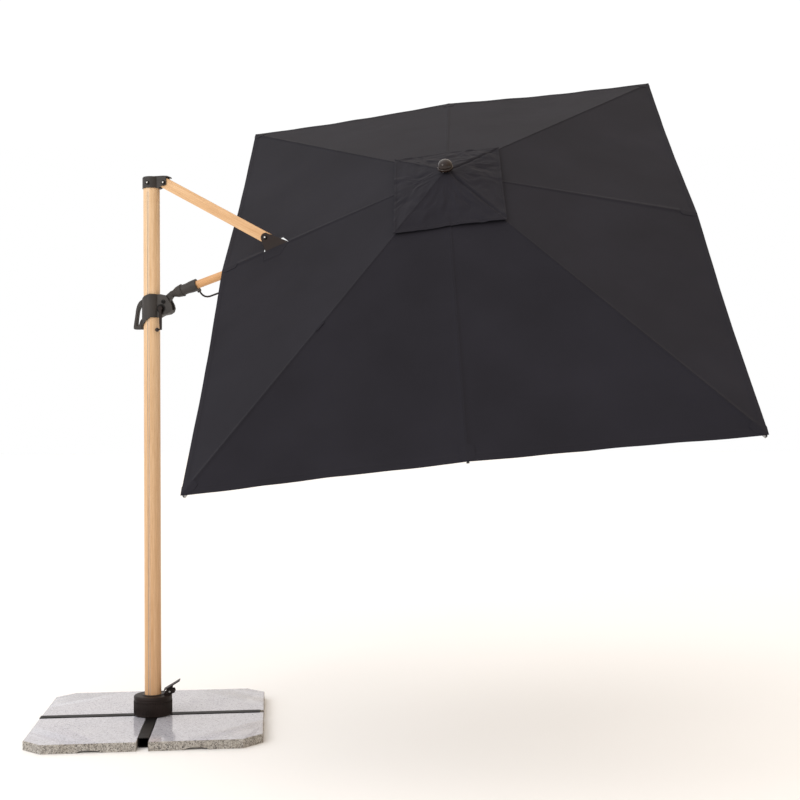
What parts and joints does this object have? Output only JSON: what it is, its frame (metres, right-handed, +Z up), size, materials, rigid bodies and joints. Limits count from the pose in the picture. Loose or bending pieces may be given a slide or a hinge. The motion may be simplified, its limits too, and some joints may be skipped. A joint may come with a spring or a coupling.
{
  "type": "cantilever parasol",
  "caption": "Side-mast garden parasol with a rectangular cloth canopy that turns, tilts about its arm and folds on a slider, on a weighted cross base.",
  "frame": {"origin": "on the ground, on the mast's axis, under the cross base", "axes": "+Z up, +X along the long bar of the base on the side of the arm, +Y away from the arm's side"},
  "size_m": [3.1581, 2.7434, 3.2712],
  "materials": {
    "granite": "polished top, split rough edges",
    "beech_wrap": "aluminium tube with a satin beech-grain film",
    "black_steel": "dark brown-black powder coat",
    "black_plastic": "fine textured moulding",
    "gloss_plastic": "gloss moulding",
    "stainless": "turned stainless",
    "aluminium": "satin anodised",
    "canopy_cloth": "plain woven anthracite polyester"
  },
  "bodies": {
    "base": {"slab_front_left": "granite", "slab_front_right": "granite", "slab_rear_left": "granite", "slab_rear_right": "granite", "cross_bar_long": "black_steel", "cross_bar_front": "black_steel", "cross_bar_rear": "black_steel", "foot_socket": "black_steel", "swivel_bush": "black_plastic", "pedal_bracket": "black_steel", "pedal_pin": "stainless"},
    "pedal": {"turn_pedal": "black_steel"},
    "mast": {"mast_tube": "beech_wrap", "head_cap": "black_plastic", "head_bolt": "stainless", "strut_bolt": "stainless"},
    "strut": {"strut_tube": "beech_wrap"},
    "carrier": {"knuckle": "black_plastic", "knee_bracket": "black_steel", "knee_bolt": "stainless"},
    "slider": {"slider_housing": "black_plastic", "slider_handle": "black_plastic", "knuckle_pin": "stainless"},
    "lever": {"clamp_lever": "black_steel", "lever_knob": "gloss_plastic"},
    "arm": {"arm_tube": "beech_wrap", "tilt_ring": "black_plastic", "tilt_sleeve": "black_plastic", "tilt_rod": "black_steel", "stop_collar_lower": "black_plastic", "stop_collar_upper": "black_plastic", "arm_tongue": "aluminium", "canopy_mid_arm": "canopy_cloth"},
    "crown": {"crown_hub": "black_plastic", "stub_tube": "aluminium", "crown_pin": "stainless", "finial_knob": "gloss_plastic", "vent_cap": "canopy_cloth"},
    "runner": {"runner": "black_plastic"},
    "rib_mid_outer": {"rib_mid_outer": "aluminium", "canopy_mid_outer": "canopy_cloth"},
    "stretcher_mid_outer": {"stretcher_mid_outer": "aluminium"},
    "rib_far_outer": {"rib_far_outer": "aluminium", "canopy_far_outer": "canopy_cloth"},
    "stretcher_far_outer": {"stretcher_far_outer": "aluminium"},
    "rib_mid_far": {"rib_mid_far": "aluminium", "canopy_mid_far": "canopy_cloth"},
    "stretcher_mid_far": {"stretcher_mid_far": "aluminium"},
    "rib_far_arm": {"rib_far_arm": "aluminium", "canopy_far_arm": "canopy_cloth"},
    "stretcher_far_arm": {"stretcher_far_arm": "aluminium"},
    "rib_near_arm": {"rib_near_arm": "aluminium", "canopy_near_arm": "canopy_cloth"},
    "stretcher_near_arm": {"stretcher_near_arm": "aluminium"},
    "rib_mid_near": {"rib_mid_near": "aluminium", "canopy_mid_near": "canopy_cloth"},
    "stretcher_mid_near": {"stretcher_mid_near": "aluminium"},
    "rib_near_outer": {"rib_near_outer": "aluminium", "canopy_near_outer": "canopy_cloth"},
    "stretcher_near_outer": {"stretcher_near_outer": "aluminium"}
  },
  "joints": [
    {"name": "mast_turn", "type": "hinge", "parent": "base", "child": "mast", "pos_m": [0, 0, 0], "axis": [0, 0, 1], "continuous": true},
    {"name": "pedal_press", "type": "hinge", "parent": "base", "child": "pedal", "pos_m": [0.08, 0, 0.1503], "axis": [0, 1, 0], "range_deg": [0, 12], "stiffness_Nm_per_rad": 4, "springref_deg": -11.46},
    {"name": "fold", "type": "hinge", "parent": "mast", "child": "strut", "pos_m": [0.06708, -0.02615, 2.573], "axis": [0.3633, 0.9317, 0], "range_deg": [0, 55], "deforming": ["canopy_mid_outer", "canopy_far_outer", "canopy_mid_far", "canopy_far_arm", "canopy_mid_arm", "canopy_near_arm", "canopy_mid_near", "canopy_near_outer", "vent_cap"]},
    {"name": "knee_turn", "type": "hinge", "parent": "strut", "child": "carrier", "pos_m": [0.54879, -0.21396, 2.28877], "axis": [0.3633, 0.9317, 0], "range_deg": [-110.05, 0]},
    {"name": "slider_pivot", "type": "hinge", "parent": "carrier", "child": "slider", "pos_m": [0.06708, -0.02615, 2.00453], "axis": [0.3633, 0.9317, 0], "range_deg": [0, 55.05]},
    {"name": "clamp_swing", "type": "hinge", "parent": "slider", "child": "lever", "pos_m": [0.0559, -0.02179, 1.97253], "axis": [0.3633, 0.9317, 0], "range_deg": [-80, 0]},
    {"name": "tilt", "type": "hinge", "parent": "carrier", "child": "arm", "pos_m": [0.06008, -0.02342, 2.02837], "axis": [0.8886, -0.3464, 0.3007], "range_deg": [-86.4, 3.6]},
    {"name": "crown_turn", "type": "hinge", "parent": "arm", "child": "crown", "pos_m": [1.30585, -0.50913, 2.44996], "axis": [0.0872, 0.7711, 0.6307], "range_deg": [0, 55.05]},
    {"name": "rib_turn_mid_outer", "type": "hinge", "parent": "crown", "child": "rib_mid_outer", "pos_m": [1.40469, -0.56189, 2.5008], "axis": [0.0872, 0.7711, 0.6307], "range_deg": [0, 71.05]},
    {"name": "stretcher_turn_mid_outer", "type": "hinge", "parent": "rib_mid_outer", "child": "stretcher_mid_outer", "pos_m": [1.6319, -0.55848, 2.46521], "axis": [0.0872, 0.7711, 0.6307], "range_deg": [-142.05, 0]},
    {"name": "rib_turn_far_outer", "type": "hinge", "parent": "crown", "child": "rib_far_outer", "pos_m": [1.38761, -0.52545, 2.5251], "axis": [-0.7354, 0.6118, 0.2913], "range_deg": [0, 71.05]},
    {"name": "stretcher_turn_far_outer", "type": "hinge", "parent": "rib_far_outer", "child": "stretcher_far_outer", "pos_m": [1.54338, -0.36964, 2.59111], "axis": [-0.7354, 0.6118, 0.2913], "range_deg": [-142.05, 0]},
    {"name": "rib_turn_mid_far", "type": "hinge", "parent": "crown", "child": "rib_mid_far", "pos_m": [1.35848, -0.51175, 2.52833], "axis": [-0.9759, 0.1932, -0.1013], "range_deg": [0, 71.05]},
    {"name": "stretcher_turn_mid_far", "type": "hinge", "parent": "rib_mid_far", "child": "stretcher_mid_far", "pos_m": [1.39242, -0.29862, 2.60788], "axis": [-0.9759, 0.1932, -0.1013], "range_deg": [-142.05, 0]},
    {"name": "rib_turn_far_arm", "type": "hinge", "parent": "crown", "child": "rib_far_arm", "pos_m": [1.32759, -0.51357, 2.51887], "axis": [-0.8386, -0.3002, -0.4546], "range_deg": [0, 71.05]},
    {"name": "stretcher_turn_far_arm", "type": "hinge", "parent": "rib_far_arm", "child": "stretcher_far_arm", "pos_m": [1.23235, -0.30806, 2.55884], "axis": [-0.8386, -0.3002, -0.4546], "range_deg": [-142.05, 0]},
    {"name": "rib_turn_near_arm", "type": "hinge", "parent": "crown", "child": "rib_near_arm", "pos_m": [1.32028, -0.57824, 2.46597], "axis": [0.7354, -0.6118, -0.2913], "range_deg": [0, 71.05]},
    {"name": "stretcher_turn_near_arm", "type": "hinge", "parent": "rib_near_arm", "child": "stretcher_near_arm", "pos_m": [1.19445, -0.64319, 2.28473], "axis": [0.7354, -0.6118, -0.2913], "range_deg": [-142.05, 0]},
    {"name": "rib_turn_mid_near", "type": "hinge", "parent": "crown", "child": "rib_mid_near", "pos_m": [1.34941, -0.59194, 2.46274], "axis": [0.9759, -0.1932, 0.1013], "range_deg": [0, 71.05]},
    {"name": "stretcher_turn_mid_near", "type": "hinge", "parent": "rib_mid_near", "child": "stretcher_mid_near", "pos_m": [1.34542, -0.7142, 2.26797], "axis": [0.9759, -0.1932, 0.1013], "range_deg": [-142.05, 0]},
    {"name": "rib_turn_near_outer", "type": "hinge", "parent": "crown", "child": "rib_near_outer", "pos_m": [1.3803, -0.59012, 2.4722], "axis": [0.8386, 0.3002, 0.4546], "range_deg": [0, 71.05]},
    {"name": "stretcher_turn_near_outer", "type": "hinge", "parent": "rib_near_outer", "child": "stretcher_near_outer", "pos_m": [1.50548, -0.70476, 2.31701], "axis": [0.8386, 0.3002, 0.4546], "range_deg": [-142.05, 0]},
    {"name": "runner_turn", "type": "hinge", "parent": "stretcher_mid_outer", "child": "runner", "pos_m": [1.43464, -0.47103, 2.38558], "axis": [0.0872, 0.7711, 0.6307], "range_deg": [0, 71.05]}
  ],
  "couplings": [
    {"joint": "knee_turn", "follows": "fold", "ratio": -2},
    {"joint": "slider_pivot", "follows": "fold", "ratio": 1},
    {"joint": "crown_turn", "follows": "fold", "ratio": 1},
    {"joint": "rib_turn_mid_outer", "follows": "fold", "ratio": 1.2909},
    {"joint": "stretcher_turn_mid_outer", "follows": "fold", "ratio": -2.5818},
    {"joint": "rib_turn_far_outer", "follows": "fold", "ratio": 1.2909},
    {"joint": "stretcher_turn_far_outer", "follows": "fold", "ratio": -2.5818},
    {"joint": "rib_turn_mid_far", "follows": "fold", "ratio": 1.2909},
    {"joint": "stretcher_turn_mid_far", "follows": "fold", "ratio": -2.5818},
    {"joint": "rib_turn_far_arm", "follows": "fold", "ratio": 1.2909},
    {"joint": "stretcher_turn_far_arm", "follows": "fold", "ratio": -2.5818},
    {"joint": "rib_turn_near_arm", "follows": "fold", "ratio": 1.2909},
    {"joint": "stretcher_turn_near_arm", "follows": "fold", "ratio": -2.5818},
    {"joint": "rib_turn_mid_near", "follows": "fold", "ratio": 1.2909},
    {"joint": "stretcher_turn_mid_near", "follows": "fold", "ratio": -2.5818},
    {"joint": "rib_turn_near_outer", "follows": "fold", "ratio": 1.2909},
    {"joint": "stretcher_turn_near_outer", "follows": "fold", "ratio": -2.5818},
    {"joint": "runner_turn", "follows": "fold", "ratio": 1.2909}
  ]
}
